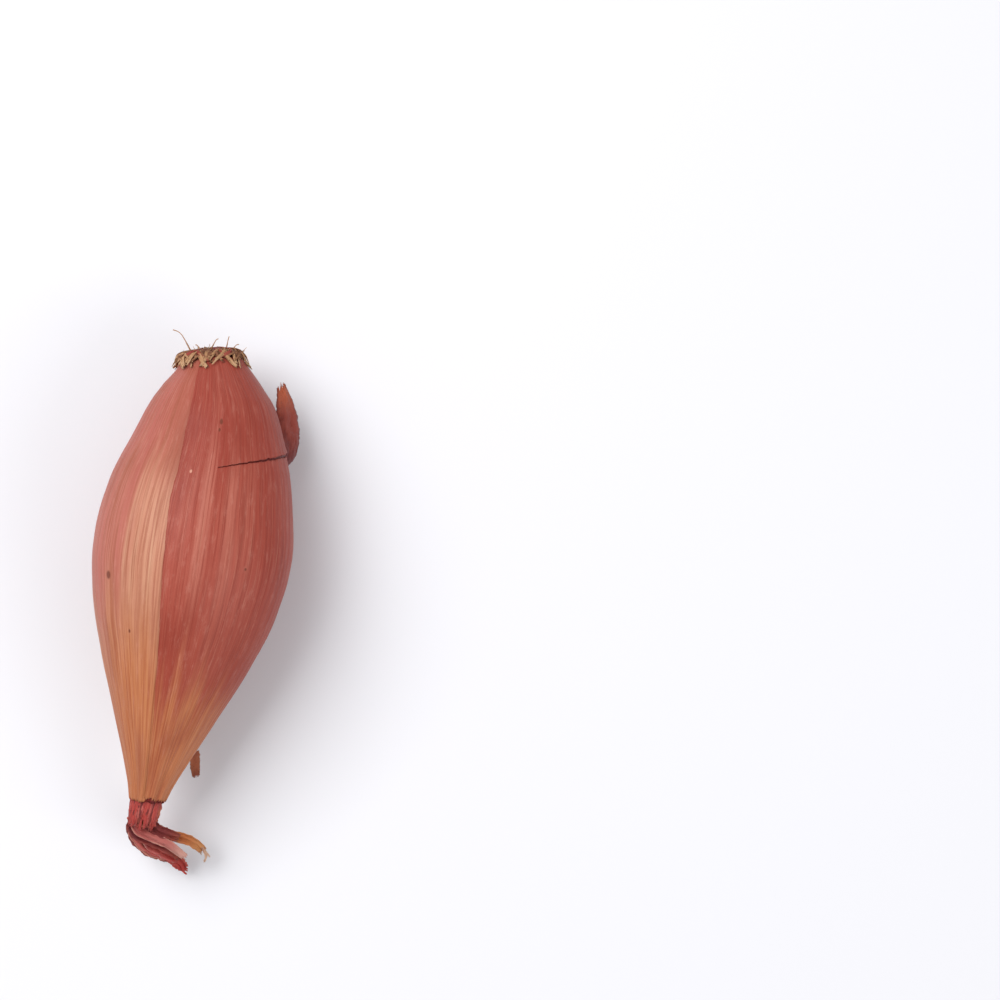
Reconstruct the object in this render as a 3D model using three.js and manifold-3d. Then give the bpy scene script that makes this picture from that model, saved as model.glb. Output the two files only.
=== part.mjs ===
// A banana shallot lying on its side, as it rests on a table.
// Millimetres, +Z up, +Y towards the root end. The dried leaf ends at -Y bend towards +X.
// The bulb is one solid: root plate, flesh and close-fitting skin grew together.
// What stands clear of it is its own piece: the dried roots, the dried neck, the leaf
// ends that hang from the neck, and two loose bits of outer skin.
import * as THREE from "three";
import { mergeVertices } from "three/addons/utils/BufferGeometryUtils.js";
import Module from "manifold-3d";

const wasm = await Module();
wasm.setup();

// ---- Driving dimensions ------------------------------------------------------------
const BULB_LENGTH = 90; // root plate to the torn end of the outer skin
const BULB_WIDTH = 40; // across the fullest part
const HEIGHT_SHARE = 0.93; // the bulb is a little lower than it is wide
const FLAT_DEPTH = 0.35; // how far the belly is flattened where it rests
const NECK_DROOP = 1.6; // how far the skin's torn end hangs below the axis
const CROWN_TILT = 0.2; // slope of the root plate: rise along the bulb per millimetre across it
const CROWN_TILT_REACH = 0.2; // share of the bulb's length over which that slope dies out
const GAP = 0.3; // clearance between neighbouring pieces

const BULB_SIDES = 48;
const BULB_RINGS = 40;

const AXIS_HEIGHT = (BULB_WIDTH / 2) * HEIGHT_SHARE - FLAT_DEPTH;

// Half width along the bulb: share of the length from the root plate, share of the full half width.
const OUTLINE = [
  [0, 0.3],
  [0.017, 0.345],
  [0.067, 0.52],
  [0.11, 0.645],
  [0.178, 0.76],
  [0.311, 0.94],
  [0.428, 1],
  [0.533, 0.945],
  [0.667, 0.765],
  [0.8, 0.525],
  [0.933, 0.28],
  [1, 0.17],
];

// The centre line bows to one side: share of the length, sideways offset in millimetres.
const BOW = [
  [0, -0.2],
  [0.06, 1.1],
  [0.178, 2.1],
  [0.311, 1.8],
  [0.43, 1.8],
  [0.6, 1.7],
  [0.8, 1],
  [1, 0],
];

// ---- Helpers -----------------------------------------------------------------------

// A smooth function through points of [position, value].
function smoothThrough(points) {
  const curve = new THREE.CubicInterpolant(
    points.map((p) => p[0]),
    points.map((p) => p[1]),
    1,
  );
  return (position) => curve.evaluate(position)[0];
}

function toSolid(geometry) {
  const loose = geometry.index ? geometry.toNonIndexed() : geometry;
  const bare = new THREE.BufferGeometry().setAttribute("position", loose.attributes.position);
  const merged = mergeVertices(bare, 1e-4);
  const mesh = new wasm.Mesh({
    numProp: 3,
    vertProperties: merged.attributes.position.array,
    triVerts: new Uint32Array(merged.index.array),
  });
  return new wasm.Manifold(mesh);
}

function toGeometry(solid) {
  const mesh = solid.getMesh();
  const geometry = new THREE.BufferGeometry();
  geometry.setAttribute("position", new THREE.BufferAttribute(mesh.vertProperties, 3));
  geometry.setIndex(new THREE.BufferAttribute(mesh.triVerts, 1));
  geometry.computeVertexNormals();
  return geometry;
}

// Moves every vertex of a geometry to where place(x, y, z) says.
function reshape(geometry, place) {
  const position = geometry.attributes.position;
  for (let i = 0; i < position.count; i++) {
    position.setXYZ(i, ...place(position.getX(i), position.getY(i), position.getZ(i)));
  }
  return geometry;
}

function piece(name, geometry, colour, roughness) {
  const material = new THREE.MeshStandardMaterial({ color: colour, roughness, metalness: 0 });
  const mesh = new THREE.Mesh(geometry, material);
  mesh.name = name;
  return mesh;
}

// A papery strip that follows a path: a thin slab, bent along it and dished across its width.
// widths are [share of the length, millimetres]; dish is how far its middle is sunk, in
// millimetres; faceUp is the way its face looks.
function strip({ path, widths, dish, thickness, faceUp, steps = 12 }) {
  const route = new THREE.CatmullRomCurve3(path.map((p) => new THREE.Vector3(...p)));
  const widthAt = smoothThrough(widths);
  const up = new THREE.Vector3(...faceUp).normalize();
  const slab = new THREE.BoxGeometry(1, 1, 1, 4, steps, 1);
  return reshape(slab, (across, along, through) => {
    const share = 0.5 - along;
    const ahead = route.getTangentAt(share);
    const side = new THREE.Vector3().crossVectors(up, ahead).normalize();
    const face = new THREE.Vector3().crossVectors(ahead, side).normalize();
    const sunk = dish * (1 - 4 * across * across);
    return route
      .getPointAt(share)
      .addScaledVector(side, across * widthAt(share))
      .addScaledVector(face, through * thickness - sunk)
      .toArray();
  });
}

// ---- The bulb ----------------------------------------------------------------------

const halfWidthAt = smoothThrough(OUTLINE.map(([at, share]) => [at, (share * BULB_WIDTH) / 2]));
const bowAt = smoothThrough(BOW);

// Soft lobes round the section, from the cloves inside; they fade at both ends.
function lobes(angle, share) {
  const fullness = Math.sin(Math.PI * share);
  return 1 + fullness * (0.012 * Math.sin(3 * angle + 0.5) + 0.006 * Math.sin(5 * angle));
}

// How far a point this far across the bulb is pushed along it by the sloping root plate.
function crownRise(across, share) {
  const left = Math.max(0, 1 - share / CROWN_TILT_REACH);
  return CROWN_TILT * across * left ** 2;
}

function axisHeightAt(share) {
  const drooping = Math.max(0, (share - 0.75) / 0.25);
  return AXIS_HEIGHT - NECK_DROOP * drooping ** 2;
}

function bulb() {
  const profile = [new THREE.Vector2(0, -BULB_LENGTH)];
  for (let i = BULB_RINGS; i >= 0; i--) {
    const even = i / BULB_RINGS;
    const bunched = (1 - Math.cos(Math.PI * even)) / 2; // closer rings at both ends
    const share = (even + bunched) / 2;
    profile.push(new THREE.Vector2(halfWidthAt(share), -share * BULB_LENGTH));
  }
  profile.push(new THREE.Vector2(0, 0));
  const round = new THREE.LatheGeometry(profile, BULB_SIDES);
  reshape(round, (x, y, z) => {
    const share = THREE.MathUtils.clamp(-y / BULB_LENGTH, 0, 1);
    const full = lobes(Math.atan2(z, x), share);
    return [
      x * full + bowAt(share),
      y + crownRise(x, share),
      z * full * HEIGHT_SHARE + axisHeightAt(share),
    ];
  });
  const table = new THREE.BoxGeometry(200, 200, 20).translate(0, 0, -10);
  return toGeometry(toSolid(round).subtract(toSolid(table)));
}

// ---- The dried roots ---------------------------------------------------------------

const MAT_RADIUS = 6.4;
const MAT_DEPTH = 1.7;

// Each rootlet: [angle round the crown in degrees, reach outwards, reach ahead, thickness].
const ROOTLETS = [
  [196, 4.6, 2.9, 0.5],
  [35, 1.2, 2.4, 0.5],
  [352, 2.4, 2.9, 0.6],
  [92, 1.6, 2.2, 0.5],
  [140, 2.2, 1.6, 0.5],
  [238, 2, 1.8, 0.5],
  [285, 1.8, 2.3, 0.5],
];

function rootlet([degrees, outwards, ahead, thickness], centre) {
  const angle = THREE.MathUtils.degToRad(degrees);
  const out = new THREE.Vector3(Math.cos(angle), 0, Math.sin(angle));
  const start = centre.clone().addScaledVector(out, MAT_RADIUS * 0.55);
  start.y += MAT_DEPTH * 0.5 + crownRise(start.x - centre.x, 0);
  const middle = start.clone().addScaledVector(out, outwards * 0.25);
  middle.y += ahead * 0.8;
  const end = start.clone().addScaledVector(out, outwards);
  end.y += ahead;
  const section = new THREE.Shape().absarc(0, 0, thickness / 2, 0, 2 * Math.PI);
  return new THREE.ExtrudeGeometry(section, {
    extrudePath: new THREE.QuadraticBezierCurve3(start, middle, end),
    steps: 6,
    curveSegments: 3,
    bevelEnabled: false,
  });
}

// A lumpy mat of dead root stubs on the root plate, with the longer rootlets grown out of it.
function rootTuft() {
  const centre = new THREE.Vector3(bowAt(0), GAP, axisHeightAt(0));
  const profile = [
    new THREE.Vector2(0, 0),
    new THREE.Vector2(MAT_RADIUS * 0.92, 0),
    new THREE.Vector2(MAT_RADIUS, MAT_DEPTH * 0.35),
    new THREE.Vector2(MAT_RADIUS * 0.8, MAT_DEPTH * 0.75),
    new THREE.Vector2(MAT_RADIUS * 0.4, MAT_DEPTH),
    new THREE.Vector2(0, MAT_DEPTH),
  ];
  const mat = new THREE.LatheGeometry(profile, 20);
  reshape(mat, (x, y, z) => {
    const angle = Math.atan2(z, x);
    const lump = 1 + 0.07 * Math.sin(4 * angle) + 0.05 * Math.sin(7 * angle + 1);
    return [
      centre.x + x * lump,
      centre.y + y + crownRise(x * lump, 0),
      centre.z + z * lump * HEIGHT_SHARE,
    ];
  });
  const tuft = ROOTLETS.reduce((grown, r) => grown.add(toSolid(rootlet(r, centre))), toSolid(mat));
  return toGeometry(tuft);
}

// ---- The dried neck and its leaf ends ----------------------------------------------

const NECK = { width: 6.2, height: 4.4, length: 5, fall: 2.6, taper: 0.86 };

// A flattened stalk that comes out of the torn skin and droops towards the table.
function neckStalk() {
  const top = new THREE.Vector3(0, -BULB_LENGTH - GAP, axisHeightAt(1));
  const stalk = new THREE.CylinderGeometry(0.5, 0.5, 1, 20, 5);
  return reshape(stalk, (x, y, z) => {
    const share = 0.5 - y;
    const narrowed = 1 - (1 - NECK.taper) * share;
    const fluting = 1 + 0.06 * Math.sin(6 * Math.atan2(z, x));
    return [
      top.x + 0.4 * share + x * NECK.width * narrowed * fluting,
      top.y - NECK.length * share,
      top.z - NECK.fall * share * share + z * NECK.height * narrowed * fluting,
    ];
  });
}

const PALE_LEAF_END = {
  path: [
    [0, -96, 14.1],
    [0.7, -97.2, 14],
    [5, -98.3, 12.6],
    [9.6, -100.6, 9.2],
  ],
  widths: [
    [0, 2],
    [0.5, 2.3],
    [1, 1.3],
  ],
  dish: 0.35,
  thickness: 0.5,
  faceUp: [0.1, -0.3, 1],
};

const CRUMPLED_LEAF_END = {
  path: [
    [-1.4, -95.9, 12.2],
    [-0.6, -98.2, 10],
    [2.3, -100.8, 7.2],
    [6, -102, 4.8],
    [9.3, -104.2, 2.9],
  ],
  widths: [
    [0, 1.8],
    [0.45, 3.4],
    [0.75, 2.8],
    [1, 1.5],
  ],
  dish: 0.5,
  thickness: 0.7,
  faceUp: [0.2, -0.2, 1],
};

const ORANGE_LEAF_END = {
  path: [
    [2.6, -96, 12],
    [3.6, -96.8, 11],
    [9.8, -97.2, 7.6],
    [13.2, -101, 4.4],
  ],
  widths: [
    [0, 1.8],
    [0.5, 2.1],
    [1, 1.1],
  ],
  dish: 0.35,
  thickness: 0.5,
  faceUp: [0.4, 0.2, 1],
};

// ---- Loose outer skin --------------------------------------------------------------

// Peels off the bulb's flank and stands clear of it, its free tip towards the roots.
const SIDE_FLAP = {
  path: [
    [18.7, -18.4, 13],
    [19, -16, 10.8],
    [18.2, -12, 9],
    [16.6, -7.6, 8.8],
    [13.4, -2.4, 9.8],
  ],
  widths: [
    [0, 2.4],
    [0.4, 4.6],
    [0.8, 4],
    [1, 1.4],
  ],
  dish: -0.8,
  thickness: 0.45,
  faceUp: [0.85, 0.1, 0.45],
};

// A short shred under the narrow end, peeled off the flank.
const NECK_SHRED = {
  path: [
    [8, -79.6, 12.9],
    [8.3, -82, 12.2],
    [9, -84.9, 11.4],
  ],
  widths: [
    [0, 1.6],
    [0.5, 1.9],
    [1, 0.8],
  ],
  dish: 0.1,
  thickness: 0.4,
  faceUp: [0.5, 0, 0.8],
  steps: 6,
};

// ---- Assembly ----------------------------------------------------------------------

const shallot = new THREE.Group();
shallot.add(
  piece("bulb", bulb(), 0xbb6a58, 0.45),
  piece("root_tuft", rootTuft(), 0xa98a63, 0.85),
  piece("neck_stalk", neckStalk(), 0xa84a40, 0.7),
  piece("leaf_end_pale", strip(PALE_LEAF_END), 0xc07a70, 0.75),
  piece("leaf_end_crumpled", strip(CRUMPLED_LEAF_END), 0xb8574c, 0.75),
  piece("leaf_end_orange", strip(ORANGE_LEAF_END), 0xb9713c, 0.75),
  piece("skin_flap_side", strip(SIDE_FLAP), 0x8a3c30, 0.6),
  piece("skin_shred_neck", strip(NECK_SHRED), 0x9a5a34, 0.7),
);

// The origin is under the middle of the whole shallot, on the surface that it rests on.
const whole = new THREE.Box3().setFromObject(shallot, true);
const middle = whole.getCenter(new THREE.Vector3());
shallot.position.set(-middle.x, -middle.y, -whole.min.z);

export default shallot;
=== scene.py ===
# %% [markdown]
# # A banana shallot
# A banana shallot is a long bulb wrapped in dry, papery skins. At one end sits a mat of dead
# roots, at the other the skins narrow to a torn collar round the dried neck, and a few withered
# leaf ends hang from it. This lesson dresses a finished frame: each piece below takes the place of
# a plain solid, fills the same space, and adds the shape and finish that the plain one lacks.

# %% Load the frame
import math
import random

import bmesh
import bpy
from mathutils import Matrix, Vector, noise


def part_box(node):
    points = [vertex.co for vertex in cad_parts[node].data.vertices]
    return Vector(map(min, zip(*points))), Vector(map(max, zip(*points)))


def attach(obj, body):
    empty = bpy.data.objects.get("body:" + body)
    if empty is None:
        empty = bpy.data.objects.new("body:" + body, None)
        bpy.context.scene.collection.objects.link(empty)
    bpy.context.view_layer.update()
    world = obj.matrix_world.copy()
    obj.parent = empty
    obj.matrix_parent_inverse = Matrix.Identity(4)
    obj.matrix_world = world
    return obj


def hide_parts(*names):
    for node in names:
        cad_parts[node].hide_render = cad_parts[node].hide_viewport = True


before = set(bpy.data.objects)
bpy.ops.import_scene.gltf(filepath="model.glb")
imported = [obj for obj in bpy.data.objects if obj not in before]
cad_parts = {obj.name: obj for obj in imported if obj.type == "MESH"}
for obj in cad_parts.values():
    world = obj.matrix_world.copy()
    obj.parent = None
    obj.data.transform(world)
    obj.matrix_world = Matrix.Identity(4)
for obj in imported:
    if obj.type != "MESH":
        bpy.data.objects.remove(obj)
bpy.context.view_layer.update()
MM = 0.001
print("the frame holds", sorted(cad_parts))

# %% [markdown]
# ## The camera
# The shallot lies on its side and is seen from straight above, a little turned, from a point
# well to its right, so that slightly more of its right flank shows. The lens is worked out from
# the height and from the width of table that the view takes in.

# %% Camera
VIEW_WIDTH = 200 * MM
VIEW_HEIGHT = 700 * MM
VIEW_TURN = math.radians(8.4)
VIEW_CENTRE = (59.4 * MM, 30.2 * MM)

bulb_low, bulb_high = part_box("bulb")
camera_data = bpy.data.cameras.new("camera")
camera_data.lens = camera_data.sensor_width * VIEW_HEIGHT / VIEW_WIDTH
camera = bpy.data.objects.new("camera", camera_data)
camera.location = (*VIEW_CENTRE, bulb_high.z / 2 + VIEW_HEIGHT)
camera.rotation_euler = (0, 0, VIEW_TURN)
bpy.context.scene.collection.objects.link(camera)
bpy.context.scene.camera = camera
print("lens:", round(camera_data.lens), "mm")

# %% [markdown]
# ## The studio
# A pale floor, one broad soft light high on the left, a weaker one on the right and a pale sky
# that lifts the shadows. Broad lights suit skin with a silky gloss: each one gives a long soft
# highlight instead of a hard spot.

# %% Floor and lights
FLOOR_SIDE = 6.0


def srgb(red, green, blue):
    """A colour given as 0-255 screen values, in the linear values that Blender's nodes use."""
    linear = []
    for value in (red / 255, green / 255, blue / 255):
        linear.append(value / 12.92 if value <= 0.04045 else ((value + 0.055) / 1.055) ** 2.4)
    return (*linear, 1.0)


def mesh_object(name, vertices, faces):
    mesh = bpy.data.meshes.new(name)
    mesh.from_pydata([tuple(v) for v in vertices], [], faces)
    mesh.update()
    made = bpy.data.objects.new(name, mesh)
    bpy.context.scene.collection.objects.link(made)
    return made


def closed_up(made):
    """Closes a mesh's open ends and turns its faces outwards."""
    shape = bmesh.new()
    shape.from_mesh(made.data)
    bmesh.ops.holes_fill(shape, edges=[edge for edge in shape.edges if edge.is_boundary], sides=0)
    bmesh.ops.recalc_face_normals(shape, faces=shape.faces)
    shape.to_mesh(made.data)
    shape.free()
    made.data.shade_smooth()


half = FLOOR_SIDE / 2
floor = mesh_object("floor", [(-half, -half, 0), (half, -half, 0), (half, half, 0), (-half, half, 0)],
                    [(0, 1, 2, 3)])
floor_paint = bpy.data.materials.new("floor_paint")
floor_paint.use_nodes = True
floor_paint.node_tree.nodes["Principled BSDF"].inputs["Base Color"].default_value = srgb(226, 226, 230)
floor_paint.node_tree.nodes["Principled BSDF"].inputs["Roughness"].default_value = 0.9
floor.data.materials.append(floor_paint)


def area_light(name, place, aim, size, power):
    data = bpy.data.lights.new(name, "AREA")
    data.size = size
    data.energy = power
    light = bpy.data.objects.new(name, data)
    light.location = place
    light.rotation_euler = (Vector(place) - Vector(aim)).to_track_quat("Z", "Y").to_euler()
    bpy.context.scene.collection.objects.link(light)
    return light


area_light("key_light", (-0.45, 0.3, 0.8), (0, 0, 0.02), 0.7, 9.0)
area_light("fill_light", (0.8, -0.4, 0.6), (0, 0, 0.02), 0.8, 4.0)
world = bpy.data.worlds.new("pale_sky")
world.use_nodes = True
world.node_tree.nodes["Background"].inputs["Color"].default_value = srgb(240, 240, 242)
world.node_tree.nodes["Background"].inputs["Strength"].default_value = 0.55
bpy.context.scene.world = world
bpy.context.scene.view_settings.view_transform = "Standard"
print("studio ready")

# %% [markdown]
# ## Writing node trees as sums
# The skins and their colours are rules with many small sums in them. A node tree holds each sum
# as a Math node, which is slow to write out by hand. `Num` wraps a socket so that + - * / add
# the Math nodes by themselves. The same class serves geometry trees and shader trees, because
# both take the same Math, Noise and Mix nodes.

# %% Helpers for node trees


def plug(tree, value, socket):
    """Feeds a socket from a number, a colour, a vector or another node."""
    if isinstance(value, Num):
        tree.links.new(value.socket, socket)
    elif isinstance(value, bpy.types.NodeSocket):
        tree.links.new(value, socket)
    else:
        socket.default_value = value


def calc(tree, operation, *values):
    node = tree.nodes.new("ShaderNodeMath")
    node.operation = operation
    for value, socket in zip(values, node.inputs):
        plug(tree, value, socket)
    return Num(tree, node.outputs[0])


class Num:
    """A number inside a node tree. Each sum with it adds one Math node."""

    def __init__(self, tree, socket):
        self.tree = tree
        self.socket = socket

    def __add__(self, other):
        return calc(self.tree, "ADD", self, other)

    def __sub__(self, other):
        return calc(self.tree, "SUBTRACT", self, other)

    def __rsub__(self, other):
        return calc(self.tree, "SUBTRACT", other, self)

    def __mul__(self, other):
        return calc(self.tree, "MULTIPLY", self, other)

    def __truediv__(self, other):
        return calc(self.tree, "DIVIDE", self, other)

    def __rtruediv__(self, other):
        return calc(self.tree, "DIVIDE", other, self)

    def __pow__(self, other):
        return calc(self.tree, "POWER", self, other)

    def __neg__(self):
        return self * -1.0

    __radd__ = __add__
    __rmul__ = __mul__

    def fn(self, operation, *others):
        """Any other Math operation, such as SINE or MAXIMUM."""
        return calc(self.tree, operation, self, *others)

    def ramp(self, start, end, low=0.0, high=1.0):
        """Climbs smoothly from low to high as this number goes from start to end."""
        node = self.tree.nodes.new("ShaderNodeMapRange")
        node.interpolation_type = "SMOOTHSTEP"
        for value, socket in zip((self, start, end, low, high), node.inputs):
            plug(self.tree, value, socket)
        return Num(self.tree, node.outputs[0])

    def through(self, points):
        """Follows a smooth curve through (position, value) points, both between 0 and 1."""
        node = self.tree.nodes.new("ShaderNodeFloatCurve")
        curve = node.mapping.curves[0]
        while len(curve.points) < len(points):
            curve.points.new(0.5, 0.5)
        for point, place in zip(curve.points, points):
            point.location = place
        node.mapping.update()
        plug(self.tree, self, node.inputs["Value"])
        return Num(self.tree, node.outputs[0])


def vector(tree, x, y, z):
    node = tree.nodes.new("ShaderNodeCombineXYZ")
    for value, socket in zip((x, y, z), node.inputs):
        plug(tree, value, socket)
    return node.outputs[0]


def split(tree, source):
    node = tree.nodes.new("ShaderNodeSeparateXYZ")
    tree.links.new(source, node.inputs[0])
    return [Num(tree, output) for output in node.outputs]


def grain(tree, place, scale, detail=2.0, roughness=0.5):
    """Noise between 0 and 1, centred on 0.5, read at a place."""
    node = tree.nodes.new("ShaderNodeTexNoise")
    for name, value in (("Vector", place), ("Scale", scale), ("Detail", detail),
                        ("Roughness", roughness)):
        plug(tree, value, node.inputs[name])
    return Num(tree, node.outputs[0])


def keep(tree, geometry, name, kind, value):
    """Stores a value on every point under a name, and returns the geometry."""
    store = tree.nodes.new("GeometryNodeStoreNamedAttribute")
    store.data_type = kind
    store.inputs["Name"].default_value = name
    tree.links.new(geometry, store.inputs["Geometry"])
    plug(tree, value, store.inputs["Value"])
    return store.outputs["Geometry"]


def shifted(tree, geometry, value, socket="Position"):
    """Moves every point to a new position, or by an offset."""
    move = tree.nodes.new("GeometryNodeSetPosition")
    tree.links.new(geometry, move.inputs["Geometry"])
    tree.links.new(value, move.inputs[socket])
    return move.outputs[0]


def finish_tree(tree, geometry, material, result):
    """Ends a tree: whatever it made becomes one plain mesh with one material."""
    realize = tree.nodes.new("GeometryNodeRealizeInstances")
    tree.links.new(geometry, realize.inputs[0])
    paint = tree.nodes.new("GeometryNodeSetMaterial")
    tree.links.new(realize.outputs[0], paint.inputs["Geometry"])
    tree.links.new(material, paint.inputs["Material"])
    tree.links.new(paint.outputs[0], result.inputs[0])


def new_geometry_tree(name, inputs):
    """A Geometry Nodes tree with named inputs. Returns the tree, its inputs and its output node."""
    tree = bpy.data.node_groups.new(name, "GeometryNodeTree")
    tree.interface.new_socket("Geometry", in_out="INPUT", socket_type="NodeSocketGeometry")
    for label, kind in inputs:
        tree.interface.new_socket(label, in_out="INPUT", socket_type=f"NodeSocket{kind}")
    tree.interface.new_socket("Geometry", in_out="OUTPUT", socket_type="NodeSocketGeometry")
    given = tree.nodes.new("NodeGroupInput")
    taken = {}
    for label, kind in inputs:
        socket = given.outputs[label]
        taken[label] = Num(tree, socket) if kind == "Float" else socket
    taken["Geometry"] = given.outputs["Geometry"]
    return tree, taken, tree.nodes.new("NodeGroupOutput")


def grown(name, tree, values, source=None, thickness=0.0):
    """Runs a geometry tree with the given inputs and returns the result as a plain mesh object."""
    data = source if source is not None else bpy.data.meshes.new(name + "_seed")
    seed = bpy.data.objects.new(name + "_seed", data)
    bpy.context.scene.collection.objects.link(seed)
    modifier = seed.modifiers.new("grow", "NODES")
    modifier.node_group = tree
    for item in tree.interface.items_tree:
        if item.in_out == "INPUT" and item.name in values:
            modifier[item.identifier] = values[item.name]
    if thickness:
        solidify = seed.modifiers.new("thickness", "SOLIDIFY")
        solidify.thickness = thickness
        solidify.offset = 1.0
    depsgraph = bpy.context.evaluated_depsgraph_get()
    mesh = bpy.data.meshes.new_from_object(seed.evaluated_get(depsgraph), depsgraph=depsgraph)
    seed.modifiers.clear()
    bpy.data.objects.remove(seed)
    mesh.name = name
    mesh.shade_smooth()
    made = bpy.data.objects.new(name, mesh)
    bpy.context.scene.collection.objects.link(made)
    triangles = sum(len(face.vertices) - 2 for face in mesh.polygons)
    print(f"{name}: {triangles} triangles")
    return made


print("helpers ready")

# %% [markdown]
# ## The skins, one rule for them all
# Every skin of the bulb follows one rule: an outline swept round a slightly bowed axis, a little
# lower than it is wide, with soft lobes where the cloves inside press outward and fine ribs
# where the veins run from root to neck. Lathing a profile would give the outline only. Here a flat grid is
# bent into place by Geometry Nodes instead: its two directions become the angle round the bulb
# and the share of the way along it. So one tree can make the whole inner skin, or a loose
# sheet over part of it, with a slit and torn edges.
#
# The tree also leaves an attribute called `unrolled` on the mesh: the cosine and sine of the
# angle, and the share along the bulb. Colours read it later, so streaks run along the veins and
# meet round the back without a seam.

# %% The onion skin tree
CROWN_TILT = 0.2
PLATE_SHARE = 0.3
HEIGHT_SHARE = 0.93
FLAT_DEPTH = 0.35 * MM
BELLY_BOW = 1.9 * MM
LARGEST_BOW = 2.5 * MM
NECK_DROOP = 1.6 * MM

HALF_WIDTH = (bulb_high.x - bulb_low.x) / 2
LENGTH = bulb_high.y - bulb_low.y - CROWN_TILT * PLATE_SHARE * HALF_WIDTH
ROOT_Y = bulb_low.y + LENGTH
AXIS_X = (bulb_low.x + bulb_high.x) / 2 - BELLY_BOW
AXIS_Z = HALF_WIDTH * HEIGHT_SHARE - FLAT_DEPTH

OUTLINE = [(0, 0.3), (0.017, 0.345), (0.067, 0.52), (0.11, 0.645), (0.178, 0.76), (0.311, 0.94),
           (0.428, 1.0), (0.533, 0.945), (0.667, 0.765), (0.8, 0.525), (0.933, 0.28), (1, 0.17)]
BOW = [(0, -0.08), (0.06, 0.44), (0.178, 0.84), (0.311, 0.72), (0.43, 0.72), (0.6, 0.68), (0.8, 0.4), (1, 0)]

SKIN_INPUTS = [("Columns", "Int"), ("Rows", "Int"), ("Stand Off", "Float"), ("Lowest", "Float"),
               ("First Angle", "Float"), ("Last Angle", "Float"), ("Last Angle Lean", "Float"),
               ("First Share", "Float"), ("Last Share", "Float"), ("Closed", "Float"),
               ("Tear Depth", "Float"), ("Edge Lift", "Float"), ("Slit Gap", "Float"),
               ("Rib Depth", "Float"), ("Pleat Depth", "Float"), ("Seed", "Float"),
               ("Material", "Material")]

SLIT_ROWS = 0.3
SLIT_START = math.radians(82)
CUP_ROWS = 0.05
CUP_DEPTH = 0.03
SLIT_SHARE = 0.189
SLIT_CLIMB = 0.054
DROOP_START = 0.75
CROWN_REACH = 0.2
RIB_COUNT = 58.0
PLEAT_COUNT = 11.0


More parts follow.
